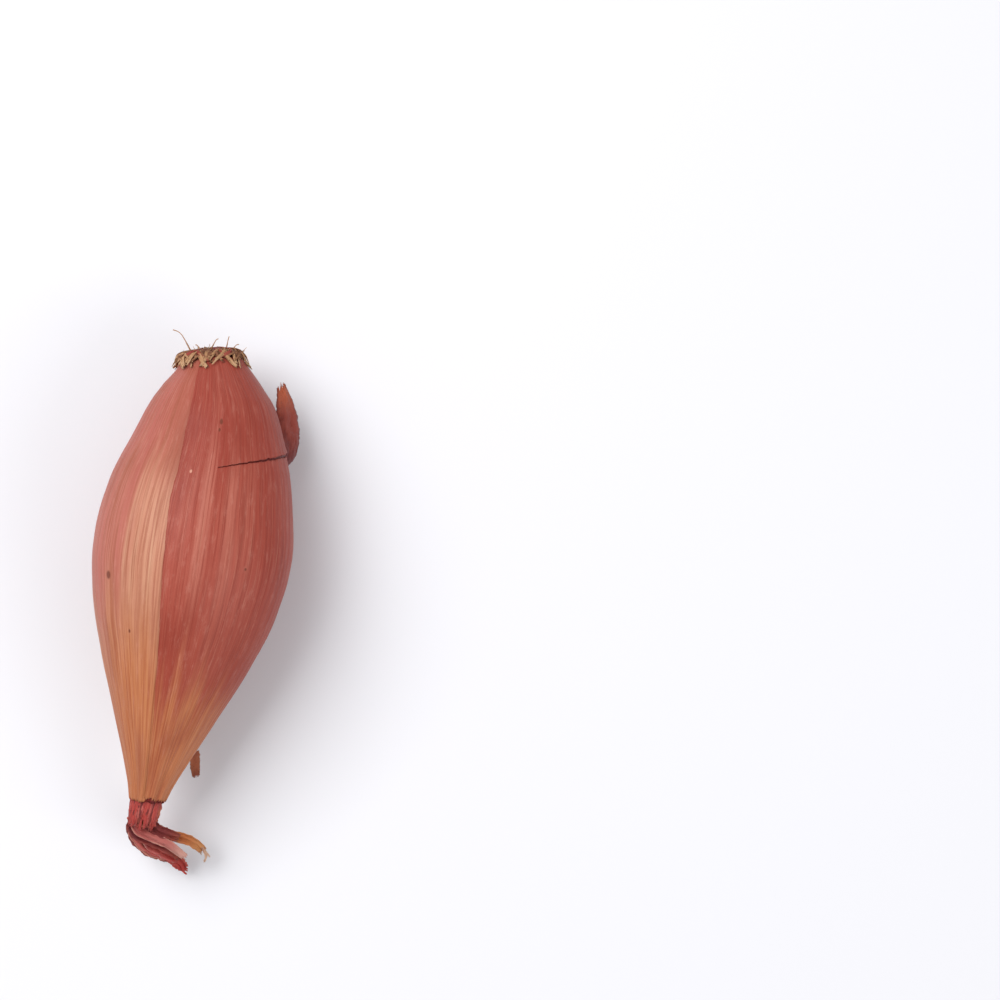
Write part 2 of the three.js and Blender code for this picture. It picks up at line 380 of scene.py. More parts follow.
def skin_tree():
    tree, given, result = new_geometry_tree("Onion skin", SKIN_INPUTS)
    new = tree.nodes.new
    grid = new("GeometryNodeMeshGrid")
    tree.links.new(given["Columns"], grid.inputs["Vertices X"])
    tree.links.new(given["Rows"], grid.inputs["Vertices Y"])
    grid_x, grid_y, _ = split(tree, new("GeometryNodeInputPosition").outputs[0])
    across, along = grid_x + 0.5, grid_y + 0.5
    row_count = Num(tree, given["Rows"]) - 1.0
    closed, seed = given["Closed"], given["Seed"]

    # The last rows of a closed skin turn in to line a shallow cup, where the neck comes out.
    cup = ((along - (1 - CUP_ROWS)) / CUP_ROWS).fn("MAXIMUM", 0.0) * closed
    outside = (along / (1.0 - closed * CUP_ROWS)).fn("MINIMUM", 1.0)

    # Angle round the bulb; the last edge leans and wanders.
    wander = grain(tree, vector(tree, seed, outside * 9.0, 0.0), 1.0, 4.0) - 0.5
    open_edge = 1.0 - closed
    last = given["Last Angle"] + (given["Last Angle Lean"] * outside + wander * 0.1) * open_edge
    angle = given["First Angle"] + (last - given["First Angle"]) * across
    cosine, sine = angle.fn("COSINE"), angle.fn("SINE")

    # Share along the bulb, with a torn end and, on a sheet, a slit that widens round the side.
    teeth = grain(tree, vector(tree, cosine * 5.0, sine * 5.0, seed), 1.4, 6.0, 0.7) - 0.5
    end = given["Last Share"] + teeth * given["Tear Depth"]
    jags = grain(tree, vector(tree, cosine * 9.0, sine * 9.0, seed + 5.0), 1.5, 5.0, 0.65) - 0.5
    past = (angle / SLIT_START).fn("MAXIMUM", 0.0)
    slit = past ** 1.5 * SLIT_CLIMB + SLIT_SHARE + jags * 0.012
    gap = (1.0 - angle / SLIT_START).fn("MAXIMUM", 0.0).fn("MINIMUM", 1.4) * given["Slit Gap"]
    first = given["First Share"]
    upper = first + (slit - gap * 0.5 - first) * (outside / SLIT_ROWS).fn("MINIMUM", 1.0)
    step = 1.0 / row_count
    down = ((outside - SLIT_ROWS - step) / (1.0 - SLIT_ROWS - step)).fn("MAXIMUM", 0.0)
    lower = slit + gap * 0.5 + (end - slit - gap * 0.5) * down
    is_lower = outside.fn("GREATER_THAN", SLIT_ROWS + step * 0.5)
    share = upper + (lower - upper) * is_lower - cup.fn("MINIMUM", 0.5) * 2 * CUP_DEPTH
    share_inside = share.fn("MAXIMUM", 0.0).fn("MINIMUM", 1.0)

    # Radius: outline, lobes, ribs, pleats near the neck, dents, and edges that lift.
    fullness = (share_inside * math.pi).fn("SINE")
    lobes = ((angle * 3.0 + 0.5).fn("SINE") * 0.012 + (angle * 5.0).fn("SINE") * 0.006) * fullness
    radius = share_inside.through(OUTLINE) * HALF_WIDTH * (lobes + 1.0)
    bend = grain(tree, vector(tree, cosine * 2.0, sine * 2.0, share * 4.0), 1.0, 2.0) - 0.5
    ribs = (angle * RIB_COUNT + bend * 2.5).fn("SINE")
    uneven = grain(tree, vector(tree, cosine * 4.0, sine * 4.0, share * 1.5), 2.5, 4.0, 0.6) - 0.5
    pleats = (angle * PLEAT_COUNT + bend * 3.0).fn("SINE") + uneven * 2.0
    dents = grain(tree, vector(tree, cosine, sine, share * 5.0), 1.3, 2.0) - 0.5
    near_neck = share.ramp(0.68, 1.0)
    lift = slit - share
    slit_lift = calc(tree, "EXPONENT", -(lift.fn("ABSOLUTE") / 0.022)) * gap / 0.0075
    slit_lift = slit_lift * (1.0 - is_lower * 0.85) * open_edge
    side_lift = calc(tree, "EXPONENT", -((1.0 - across) / 0.02)) * open_edge
    side_lift = side_lift + calc(tree, "EXPONENT", -(across / 0.03)) * open_edge * 2.0
    edge_lift = (slit_lift * 2.6 + side_lift * 0.8) * given["Edge Lift"]
    flare = share.ramp(0.955, 1.01) * 0.3 * MM
    proud = given["Stand Off"] + ribs * given["Rib Depth"] + uneven * given["Rib Depth"] * 2.5
    proud = proud + pleats * given["Pleat Depth"] * near_neck + dents * 0.5 * MM * fullness
    proud = proud + edge_lift + flare

    # A closed skin's first row, and the bottom of its cup, draw in to the axis.
    drawn_in = 1.0 - (cup - 0.5).fn("MAXIMUM", 0.0) * 2.0
    drawn_in = drawn_in * (along * row_count).fn("MINIMUM", 1.0).fn("MAXIMUM", 1.0 - closed)
    wall = cup.fn("GREATER_THAN", 0.001) * 0.35 * MM
    reach = (radius + proud - wall) * drawn_in
    reach_up = (radius * HEIGHT_SHARE + proud - wall) * drawn_in

    bow = share_inside.through(BOW) * LARGEST_BOW
    drooping = ((share - DROOP_START) / (1.0 - DROOP_START)).fn("MAXIMUM", 0.0)
    crown = (1.0 - share_inside / CROWN_REACH).fn("MAXIMUM", 0.0)
    x = cosine * reach
    y = ROOT_Y - share * LENGTH + x * CROWN_TILT * crown * crown
    z = sine * reach_up + AXIS_Z - drooping * drooping * NECK_DROOP
    place = vector(tree, x + bow + AXIS_X, y, z.fn("MAXIMUM", given["Lowest"]))

    unrolled_place = vector(tree, cosine, sine, share)
    kept = keep(tree, grid.outputs["Mesh"], "unrolled", "FLOAT_VECTOR", unrolled_place)
    kept = keep(tree, kept, "side", "FLOAT", is_lower)
    kept = keep(tree, kept, "gap", "FLOAT", gap)
    moved = shifted(tree, kept, place)

    # Faces that would bridge the open slit are cut away.
    def stored(name):
        read = new("GeometryNodeInputNamedAttribute")
        read.data_type = "FLOAT"
        read.inputs["Name"].default_value = name
        return Num(tree, read.outputs[0])

    bridging = (stored("side") - 0.5).fn("ABSOLUTE").fn("LESS_THAN", 0.4)
    opened = stored("gap").fn("GREATER_THAN", 0.0004)
    cut = new("GeometryNodeDeleteGeometry")
    cut.domain = "FACE"
    tree.links.new(moved, cut.inputs["Geometry"])
    plug(tree, bridging * opened, cut.inputs["Selection"])
    merge = new("GeometryNodeMergeByDistance")
    merge.inputs["Distance"].default_value = 0.001 * MM
    tree.links.new(cut.outputs[0], merge.inputs["Geometry"])
    finish_tree(tree, merge.outputs[0], given["Material"], result)
    return tree


onion_skin = skin_tree()
print("onion skin tree:", len(onion_skin.nodes), "nodes")

# %% [markdown]
# ## The colour of onion skin
# Dry onion skin is copper red, and never one red. Fine streaks follow the veins, broad bands of
# tan lie between redder ones, and towards the neck it all turns to orange straw. The shader
# reads `unrolled` and squeezes its noise along the bulb, which draws noise out into streaks. It
# then blends its colours by where a point lies: at the crown, on each flank, low down and near
# the neck. `mark` adds a small blemish at a chosen place.
# A linear mix of paints is enough here, because the layers themselves are separate meshes.

# %% Skin material


def principled(name, roughness, **sockets):
    material = bpy.data.materials.new(name)
    material.use_nodes = True
    shader = material.node_tree.nodes["Principled BSDF"]
    shader.inputs["Roughness"].default_value = roughness
    for label, value in sockets.items():
        shader.inputs[label.replace("_", " ")].default_value = value
    return material, material.node_tree, shader


def blend(tree, weight, first, second):
    """Mixes two colours: all of the second where the weight is 1."""
    node = tree.nodes.new("ShaderNodeMix")
    node.data_type = "RGBA"
    plug(tree, weight, node.inputs[0])
    plug(tree, first, node.inputs[6])
    plug(tree, second, node.inputs[7])
    return node.outputs[2]


def bump(tree, shader, height, distance):
    node = tree.nodes.new("ShaderNodeBump")
    node.inputs["Distance"].default_value = distance
    plug(tree, height, node.inputs["Height"])
    tree.links.new(node.outputs["Normal"], shader.inputs["Normal"])


def unrolled(tree):
    """Cosine, sine and share along the bulb, and the angle from the top, positive to the right."""
    node = tree.nodes.new("ShaderNodeAttribute")
    node.attribute_name = "unrolled"
    cosine, sine, share = split(tree, node.outputs["Vector"])
    return cosine, sine, share, cosine.fn("ARCTAN2", sine)


def mark(tree, share, lean, place, size):
    """1 inside a small blemish at a place (share along, degrees from the top), 0 outside it."""
    at_share, at_degrees = place
    off_along = (share - at_share) * (LENGTH / MM)
    off_across = (lean - math.radians(at_degrees)) * (HALF_WIDTH / MM)
    away = (off_along * off_along + off_across * off_across * 1.6).fn("SQRT")
    return away.ramp(size * 0.45, size, 1.0, 0.0)


def skin_material(name, paints, marks, straw_from, shade_under_sheet=None):
    """paints: colours for the ground, its streaks, the pale bands, the crown and both flanks."""
    material, tree, shader = principled(name, 0.42, Specular_IOR_Level=0.2)
    cosine, sine, share, lean = unrolled(tree)
    fine = grain(tree, vector(tree, cosine, sine, share * 0.1), 42.0, 7.0, 0.65)
    hair = grain(tree, vector(tree, cosine, sine, share * 0.05), 120.0, 4.0, 0.6)
    bands = grain(tree, vector(tree, cosine, sine, share * 0.22), 5.5, 3.0, 0.55)
    cloud = grain(tree, vector(tree, cosine, sine, share * 2.4), 1.9, 3.0, 0.5)
    colour = blend(tree, bands.ramp(0.42, 0.66), paints["ground"], paints["pale"])
    to_crown = (share + (bands - 0.5) * 0.3).ramp(0.34, 0.16)
    colour = blend(tree, to_crown * 0.8, colour, paints["crown"])
    to_left = (lean + (bands - 0.5) * 0.5).ramp(-0.48, -0.78)
    colour = blend(tree, to_left * 0.85, colour, paints["left"])
    to_right = (lean + (bands - 0.5) * 0.7).ramp(0.3, 1.0)
    colour = blend(tree, to_right * 0.85, colour, paints["right"])
    to_low = (share + (bands - 0.5) * 0.3).ramp(0.46, 0.66)
    colour = blend(tree, to_low * 0.75, colour, paints["low"])
    colour = blend(tree, fine.ramp(0.42, 0.66, 0.0, 0.7), colour, paints["streak"])
    to_neck = (share + (bands - 0.5) * 0.4 + (cloud - 0.5) * 0.14).ramp(straw_from, straw_from + 0.22)
    straw = blend(tree, fine.ramp(0.4, 0.64), srgb(186, 118, 76), srgb(160, 86, 52))
    colour = blend(tree, to_neck * 0.92, colour, straw)
    colour = blend(tree, hair.ramp(0.52, 0.78, 0.0, 0.3), colour, srgb(212, 152, 126))
    colour = blend(tree, cloud.ramp(0.46, 0.7, 0.0, 0.45), colour, paints["streak"])
    speckle = grain(tree, vector(tree, cosine * 4.0, sine * 4.0, share * 5.0), 5.0, 6.0, 0.7)
    colour = blend(tree, speckle.ramp(0.5, 0.72, 0.0, 0.16), colour, srgb(214, 156, 138))
    for place, size, paint in marks:
        colour = blend(tree, mark(tree, share, lean, place, size) * 0.85, colour, paint)
    # Painted shade: where the outer sheet covers it, the inner skin is painted dark red, which shows through
    # the slit.
    if shade_under_sheet is not None:
        edge = share * math.radians(13) - math.radians(17)
        colour = blend(tree, (lean - edge).ramp(math.radians(2), math.radians(4)), colour, shade_under_sheet)
    tree.links.new(colour, shader.inputs["Base Color"])
    bump(tree, shader, fine * 0.6 + hair * 0.4, 0.1 * MM)
    plug(tree, fine * 0.2 + 0.34, shader.inputs["Roughness"])
    return material


BLEMISH = srgb(104, 50, 34)
# The inner skin's last colour, a dark red, is painted shade for the skin under the outer sheet.
INNER_SKIN = skin_material(
    "inner_skin",
    {"ground": srgb(188, 128, 102), "streak": srgb(146, 78, 56), "pale": srgb(196, 146, 118),
     "crown": srgb(158, 72, 62), "left": srgb(172, 94, 84), "right": srgb(152, 66, 50),
     "low": srgb(184, 124, 94)},
    [((0.506, -49.0), 1.1, BLEMISH), ((0.62, -31.0), 0.5, BLEMISH), ((0.35, -120.0), 0.9, BLEMISH)],
    0.54, shade_under_sheet=srgb(112, 32, 28))
OUTER_SKIN = skin_material(
    "outer_skin",
    {"ground": srgb(160, 76, 62), "streak": srgb(132, 50, 38), "pale": srgb(178, 104, 88),
     "crown": srgb(148, 62, 50), "left": srgb(168, 88, 76), "right": srgb(150, 60, 46),
     "low": srgb(148, 62, 46)},
    [((0.14, 12.0), 0.75, BLEMISH), ((0.158, 11.0), 0.5, BLEMISH), ((0.45, 38.0), 0.4, BLEMISH),
     ((0.6, 120.0), 0.9, BLEMISH), ((0.256, -4.0), 0.45, srgb(206, 150, 128))],
    0.64)
print("skin materials ready")

# %% [markdown]
# ## The two skins that show
# The inner skin goes all the way round and is closed: it carries the tan stripe and the pale left
# flank. A second, redder sheet lies over the top and the right flank. It ends in a free edge
# just left of the middle and is torn across near the roots, where the slit shows the skin below,
# painted dark red as the shade under the sheet. The sheet is thickened outwards with Solidify, so
# that its edges have a body of their own.

# %% Grow the skins
INSET = 0.32 * MM
SHEET_THICKNESS = 0.14 * MM

skin = grown("bulb_skin", onion_skin, {
    "Columns": 361, "Rows": 265, "Stand Off": -INSET, "Lowest": 0.22 * MM,
    "First Angle": math.radians(-90), "Last Angle": math.radians(270), "Last Angle Lean": 0.0,
    "First Share": 0.0, "Last Share": 0.998, "Closed": 1.0, "Tear Depth": 0.036,
    "Edge Lift": 0.0, "Slit Gap": 0.0, "Rib Depth": 0.02 * MM, "Pleat Depth": 0.14 * MM,
    "Seed": 3.0, "Material": INNER_SKIN,
})
sheet = grown("outer_skin_sheet", onion_skin, {
    "Columns": 190, "Rows": 240, "Stand Off": -INSET + 0.1 * MM, "Lowest": SHEET_THICKNESS + 0.03 * MM,
    "First Angle": math.radians(-68), "Last Angle": math.radians(107),
    "Last Angle Lean": math.radians(-13), "First Share": 0.003, "Last Share": 0.99,
    "Closed": 0.0, "Tear Depth": 0.045, "Edge Lift": 0.2 * MM, "Slit Gap": 0.0062,
    "Rib Depth": 0.02 * MM, "Pleat Depth": 0.14 * MM, "Seed": 8.0, "Material": OUTER_SKIN,
}, thickness=SHEET_THICKNESS)

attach(skin, "root")
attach(sheet, "root")
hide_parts("bulb")

# %% [markdown]
# ## Papery strips
# The withered leaf ends, the loose flap on the flank and the shreds of skin are all papery strips
# that follow a path: pleated or dished across, wrinkled along, torn at the tip. One tree makes
# them all. It bends a flat grid along a smooth curve through a few points, as a lofted ribbon
# would do, and it keeps `strip`, the place across and along, for the colours. The paths are
# given as shares of each node's own box, so that a strip fills the space of its solid.

# %% The papery strip tree
STRIP_INPUTS = [("Columns", "Int"), ("Rows", "Int"), ("Start Width", "Float"),
                ("Middle Width", "Float"), ("End Width", "Float"), ("Face Up", "Vector"),
                ("Dish", "Float"), ("Pleats", "Float"), ("Pleat Depth", "Float"),
                ("Wrinkle", "Float"), ("Roll", "Float"), ("Torn", "Float"), ("Seed", "Float"),
                ("Material", "Material")]


def vector_math(tree, operation, *values):
    node = tree.nodes.new("ShaderNodeVectorMath")
    node.operation = operation
    sockets = [node.inputs[0], node.inputs[3] if operation == "SCALE" else node.inputs[1]]
    for value, socket in zip(values, sockets):
        plug(tree, value, socket)
    return node.outputs[0]


def strip_tree():
    tree, given, result = new_geometry_tree("Papery strip", STRIP_INPUTS)
    new = tree.nodes.new
    seed = given["Seed"]
    to_curve = new("GeometryNodeMeshToCurve")
    tree.links.new(given["Geometry"], to_curve.inputs[0])
    smooth = new("GeometryNodeCurveSplineType")
    smooth.spline_type = "CATMULL_ROM"
    tree.links.new(to_curve.outputs[0], smooth.inputs[0])

    grid = new("GeometryNodeMeshGrid")
    tree.links.new(given["Columns"], grid.inputs["Vertices X"])
    tree.links.new(given["Rows"], grid.inputs["Vertices Y"])
    across, grid_y, _ = split(tree, new("GeometryNodeInputPosition").outputs[0])
    along = 0.5 - grid_y

    # The tip is torn: how far each fibre reaches varies across the strip.
    teeth = grain(tree, vector(tree, across * 2.5, seed, 0.0), 4.0, 5.0, 0.75)
    reach = along * (1.0 - given["Torn"] * (teeth - 0.3).fn("MAXIMUM", 0.0) * 2.0)

    sample = new("GeometryNodeSampleCurve")
    sample.mode = "FACTOR"
    tree.links.new(smooth.outputs[0], sample.inputs["Curves"])
    plug(tree, reach, sample.inputs["Factor"])
    tangent = sample.outputs["Tangent"]
    side = vector_math(tree, "CROSS_PRODUCT", given["Face Up"], tangent)
    side = vector_math(tree, "NORMALIZE", side)
    face = vector_math(tree, "CROSS_PRODUCT", tangent, side)

    start, middle, end = given["Start Width"], given["Middle Width"], given["End Width"]
    slope = middle * 4.0 - start * 3.0 - end
    width = start + (slope + (start * 2.0 - middle * 4.0 + end * 2.0) * reach) * reach
    side_sign = across.fn("SIGN")
    frayed = grain(tree, vector(tree, side_sign * 3.0, reach * 5.0, seed + 2.0), 2.0, 5.0, 0.65)
    width = width * (1.0 + (frayed - 0.5) * 0.7 * across.fn("ABSOLUTE") * 2.0)

    drift = grain(tree, vector(tree, seed + 4.0, 0.0, reach * 2.2), 1.2, 2.0) - 0.5
    pleats = ((across * given["Pleats"] + drift * 1.2) * math.tau).fn("SINE")
    crumple = grain(tree, vector(tree, across * 2.2, reach * 4.5, seed + 7.0), 1.5, 4.0, 0.55) - 0.5
    height = given["Dish"] * (across * across * 4.0 - 1.0) + pleats * given["Pleat Depth"]
    height = height + crumple * given["Wrinkle"] * 2.0
    sideways = across * width
    roll = given["Roll"] * (reach + drift * 0.5)
    cosine, sine = roll.fn("COSINE"), roll.fn("SINE")
    shift_side = vector_math(tree, "SCALE", side, sideways * cosine - height * sine)
    shift_face = vector_math(tree, "SCALE", face, sideways * sine + height * cosine)
    place = vector_math(tree, "ADD", sample.outputs["Position"], shift_side)
    place = vector_math(tree, "ADD", place, shift_face)

    strip_place = vector(tree, across, along, seed)
    kept = keep(tree, grid.outputs["Mesh"], "strip", "FLOAT_VECTOR", strip_place)
    finish_tree(tree, shifted(tree, kept, place), given["Material"], result)
    return tree


papery_strip = strip_tree()
STRIP_THICKNESS = 0.13 * MM


def in_box(node, shares):
    low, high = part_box(node)
    return [low[axis] + shares[axis] * (high[axis] - low[axis]) for axis in range(3)]


def path_mesh(points):
    mesh = bpy.data.meshes.new("path")
    mesh.from_pydata(points, [(i, i + 1) for i in range(len(points) - 1)], [])
    return mesh


def strip(name, points, widths, up, material, seed, dish=0.0, pleats=0.0, pleat_depth=0.0,
          wrinkle=0.1, roll=0.0, torn=0.1, columns=40, rows=90):
    """A papery strip along points in metres. Its other sizes are in millimetres."""
    return grown(name, papery_strip, {
        "Columns": columns, "Rows": rows, "Start Width": widths[0] * MM,
        "Middle Width": widths[1] * MM, "End Width": widths[2] * MM, "Face Up": up,
        "Dish": dish * MM, "Pleats": pleats, "Pleat Depth": pleat_depth * MM,
        "Wrinkle": wrinkle * MM, "Roll": roll, "Torn": torn, "Seed": float(seed),
        "Material": material,
    }, source=path_mesh(points), thickness=STRIP_THICKNESS)


def joined(name, pieces):
    """Joins finished pieces into one object."""
    shape = bmesh.new()
    materials = []
    for piece in pieces:
        first = len(shape.faces)
        shape.from_mesh(piece.data)
        shape.faces.ensure_lookup_table()
        paint = piece.data.materials[piece.data.polygons[0].material_index]
        if paint not in materials:
            materials.append(paint)
        for face in shape.faces[first:]:
            face.material_index = materials.index(paint)
    mesh = bpy.data.meshes.new(name)
    shape.to_mesh(mesh)
    shape.free()
    for paint in materials:
        mesh.materials.append(paint)
    mesh.shade_smooth()
    for piece in pieces:
        bpy.data.objects.remove(piece)
    made = bpy.data.objects.new(name, mesh)
    bpy.context.scene.collection.objects.link(made)
    return made


print("papery strip tree:", len(papery_strip.nodes), "nodes")

# %% [markdown]
# ## Withered leaf
# Each strip fades along its length: darker and redder where it leaves the neck, paler or brighter
# at its torn tip, with fibres that run from end to end. A rim colour follows the edges: paler on the
# leaf ends, darker on the flakes, and dark on the flap, where it is painted shade. The fibres are the
# same squeezed noise as on the skins.

# %% Strip material


def papery(name, root, middle, tip, rim, roughness=0.55):
    material, tree, shader = principled(name, roughness, Specular_IOR_Level=0.35)
    node = tree.nodes.new("ShaderNodeAttribute")
    node.attribute_name = "strip"
    across, along, seed = split(tree, node.outputs["Vector"])
    fibre = grain(tree, vector(tree, across * 6.0, along * 0.8, seed), 5.0, 6.0, 0.65)
    patch = grain(tree, vector(tree, across * 2.0, along * 3.0, seed + 9.0), 2.0, 3.0)
    colour = blend(tree, (along + (patch - 0.5) * 0.5).ramp(0.05, 0.5), root, middle)
    colour = blend(tree, (along + (fibre - 0.5) * 0.4).ramp(0.6, 0.95), colour, tip)
    colour = blend(tree, fibre.ramp(0.45, 0.72, 0.0, 0.5), colour, root)
    edge = (across.fn("ABSOLUTE") + (fibre - 0.5) * 0.16).ramp(0.36, 0.5)
    colour = blend(tree, edge * 0.8, colour, rim)
    tree.links.new(colour, shader.inputs["Base Color"])
    bump(tree, shader, fibre, 0.15 * MM)
    return material


RED_LEAF = papery("red_leaf", srgb(136, 44, 42), srgb(186, 88, 80), srgb(176, 62, 56), srgb(206, 142, 124))
PINK_LEAF = papery("pink_leaf", srgb(132, 48, 46), srgb(190, 108, 104), srgb(206, 150, 138),
                   srgb(216, 164, 148))
PALE_LEAF = papery("pale_leaf", srgb(150, 62, 58), srgb(178, 98, 90), srgb(202, 150, 136),
                   srgb(204, 148, 132))
BRIGHT_LEAF = papery("bright_leaf", srgb(150, 50, 46), srgb(182, 66, 58), srgb(176, 54, 48),
                     srgb(196, 92, 78))
MAROON_LEAF = papery("maroon_leaf", srgb(92, 28, 32), srgb(120, 42, 40), srgb(150, 66, 50),
                     srgb(140, 62, 52))
ORANGE_LEAF = papery("orange_leaf", srgb(140, 60, 42), srgb(186, 104, 54), srgb(202, 140, 86),
                     srgb(198, 126, 76))
STRAW_LEAF = papery("straw_leaf", srgb(176, 120, 96), srgb(208, 168, 140), srgb(214, 176, 148),
                    srgb(220, 186, 160))
# Painted light and shade: the flap is dark at its root and rim for the shade in its hollow, and orange-red at
# its tip for light coming through it.
FLAP_SHADE_AND_GLOW = papery("flap_shade_and_glow", srgb(104, 36, 34), srgb(142, 58, 44), srgb(182, 92, 60),
                   srgb(96, 34, 32), 0.45)
SHRED_SKIN = papery("shred_skin", srgb(150, 78, 50), srgb(160, 84, 50), srgb(136, 66, 42), srgb(172, 104, 70))
FLAKE_STRAW = papery("straw_flake", srgb(150, 104, 72), srgb(184, 138, 98), srgb(200, 160, 122),
                     srgb(168, 120, 84), 0.7)
FLAKE_RED = papery("red_flake", srgb(120, 36, 34), srgb(150, 56, 46), srgb(160, 80, 62),
                   srgb(130, 50, 42), 0.6)
FLAKE_BROWN = papery("brown_flake", srgb(92, 52, 38), srgb(132, 84, 58), srgb(160, 112, 78),
                     srgb(110, 66, 46), 0.7)
print("strip materials ready")

# %% [markdown]
# ## The leaf ends
# Three leaf ends hang from the neck. The widest is crumpled, so it is built up from overlapping
# strips: a red one with deep pleats, a straw-coloured rim behind it and a bright torn tip. The
# pale one is folded lengthwise. Under the crumpled and the pale strips lie dark maroon copies, set
# a little lower, which are painted shade. The orange one comes out from under a maroon layer.
# `fibres` makes the loose tufts at the tips: thin strips that start together and fan out.

# %% Leaf ends


def boxed_path(node, shares, shift=(0, 0, 0)):
    return [[a + b * MM for a, b in zip(in_box(node, point), shift)] for point in shares]


PALE_PATH = [(-0.14, 1.25, 0.96), (0.0, 0.89, 0.98), (0.27, 0.73, 0.93), (0.57, 0.54, 0.7),
             (0.94, 0.06, 0.14)]
CRUMPLED_PATH = [(0.1, 1.34, 1.24), (0.07, 0.98, 1.0), (0.15, 0.74, 0.8), (0.34, 0.54, 0.6),
                 (0.6, 0.43, 0.42), (0.8, 0.27, 0.26)]
RED_TIP_PATH = [(0.58, 0.42, 0.42), (0.76, 0.28, 0.26), (0.93, 0.06, 0.1)]
ORANGE_PATH = [(-0.2, 1.2, 1.08), (0.16, 0.86, 0.9), (0.42, 0.76, 0.78), (0.64, 0.66, 0.6),
               (0.84, 0.4, 0.36), (0.92, 0.12, 0.2)]
MAROON_PATH = [(-0.2, 1.3, 1.3), (0.04, 0.97, 1.26), (0.26, 0.86, 1.14), (0.5, 0.74, 0.84)]
FOLD_PATH = [(0.2, 0.82, 0.95), (0.34, 0.62, 0.78), (0.52, 0.5, 0.6), (0.84, 0.34, 0.34)]
RIM_PATH = [(0.06, 1.0, 0.8), (0.08, 0.74, 0.62), (0.26, 0.42, 0.36), (0.5, 0.22, 0.2)]


def fibres(name, node, path, count, material, seed, spread, width):
    """Thin loose fibres that fan out where a strip ends."""
    chance = random.Random(seed)
    grown_fibres = []
    for number in range(count):
        push = [chance.uniform(-1, 1) * spread for _ in range(3)]
        points = []
        for share, point in zip((0.0, 0.35, 1.0), boxed_path(node, path)):
            points.append([value + share * shove * MM for value, shove in zip(point, push)])
        grown_fibres.append(strip(f"{name}_{number}", points, (width, width, width * 0.35),
                                  (0.2, -0.2, 1), material, seed + number, wrinkle=0.1,
                                  roll=chance.uniform(-1, 1), torn=0.3, columns=5, rows=24))
    return joined(name, grown_fibres)


RED_TIP_FIBRES = [(0.72, 0.27, 0.24), (0.8, 0.17, 0.17), (0.93, 0.06, 0.09)]
ORANGE_TIP_FIBRES = [(0.83, 0.5, 0.38), (0.93, 0.2, 0.2), (0.93, 0.02, 0.08)]

leaf_ends = {
    "leaf_end_pale": [
        strip("pale_leaf_end", boxed_path("leaf_end_pale", PALE_PATH), (1.7, 1.9, 1.2),
              (0.1, -0.3, 1), PALE_LEAF, 11, dish=-0.5, pleats=1.5, pleat_depth=0.25,
              wrinkle=0.45, roll=0.6, torn=0.2, columns=48),
        # Painted shade: a dark maroon copy of the pale strip, set lower and wider, for the shade beneath it.
        strip("painted_shade_under_pale", boxed_path("leaf_end_pale", PALE_PATH, (-0.3, -0.8, -0.9)), (2.4, 2.4, 1.2),
              (0.1, -0.3, 1), MAROON_LEAF, 13, dish=0.3, pleats=1.5, pleat_depth=0.25,
              wrinkle=0.45, roll=0.2, torn=0.3, columns=48),
    ],
    "leaf_end_crumpled": [
        strip("crumpled_leaf_end", boxed_path("leaf_end_crumpled", CRUMPLED_PATH), (2.6, 4.2, 2.6),
              (0.1, -0.4, 1), RED_LEAF, 23, dish=-0.3, pleats=3.0, pleat_depth=0.5,
              wrinkle=1.0, roll=-0.2, torn=0.2, columns=90, rows=150),
        strip("straw_rim", boxed_path("leaf_end_crumpled", RIM_PATH), (1.0, 1.5, 1.1),
              (-0.5, -0.5, 1), STRAW_LEAF, 31, dish=0.3, pleats=1.0,
              pleat_depth=0.15, wrinkle=0.3, roll=0.3, torn=0.3),
        # Painted shade: a dark maroon copy of the crumpled strip, set a millimetre lower, for the shade in
        # its folds.
        strip("painted_shade_fold", boxed_path("leaf_end_crumpled", CRUMPLED_PATH, (-0.4, -0.4, -1.0)),
              (2.6, 4.0, 2.4), (0.1, -0.4, 1), MAROON_LEAF, 33, dish=0.5, pleats=2.0,
              pleat_depth=0.3, wrinkle=0.5, roll=0.2, torn=0.3),
        strip("folded_layer", boxed_path("leaf_end_crumpled", FOLD_PATH), (1.6, 3.2, 2.2),
              (0.2, -0.4, 1), RED_LEAF, 37, dish=-0.5, pleats=2.5,
              pleat_depth=0.45, wrinkle=0.9, roll=-0.3, torn=0.3, columns=70, rows=110),
        strip("red_tip", boxed_path("leaf_end_crumpled", RED_TIP_PATH, (0, 0, 0.2)),
              (2.4, 2.8, 1.9), (0.2, -0.3, 1), BRIGHT_LEAF, 41, dish=-0.2, pleats=3.0,
              pleat_depth=0.22, wrinkle=0.35, roll=0.3, torn=0.5, columns=60),
        fibres("red_tip_fibres", "leaf_end_crumpled", RED_TIP_FIBRES, 14, BRIGHT_LEAF, 43, 0.8, 0.5),
    ],
    "leaf_end_orange": [
        strip("orange_leaf_end", boxed_path("leaf_end_orange", ORANGE_PATH), (1.5, 2.2, 1.4),
              (0.4, 0.2, 1), ORANGE_LEAF, 47, dish=0.4, pleats=2.0, pleat_depth=0.18,
              wrinkle=0.25, roll=0.5, torn=0.3, columns=48),
        strip("maroon_layer", boxed_path("leaf_end_orange", MAROON_PATH), (2.8, 2.6, 1.6),
              (0.1, -0.2, 1), MAROON_LEAF, 49, dish=0.2, pleats=2.0, pleat_depth=0.25,
              wrinkle=0.4, roll=0.2, torn=0.3, columns=48),
        fibres("orange_tip_fibres", "leaf_end_orange", ORANGE_TIP_FIBRES, 8, STRAW_LEAF, 71, 0.8, 0.34),
    ],
}

for node, pieces in leaf_ends.items():
    for piece in pieces:
        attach(piece, "root")
    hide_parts(node)

# %% [markdown]
# ## Loose fibres on the neck
# Fine fibres start under the torn collar and lie down the top of the neck, in three shades. They
# break up its outline, which a single smooth skin can't do.

# %% Neck fibres


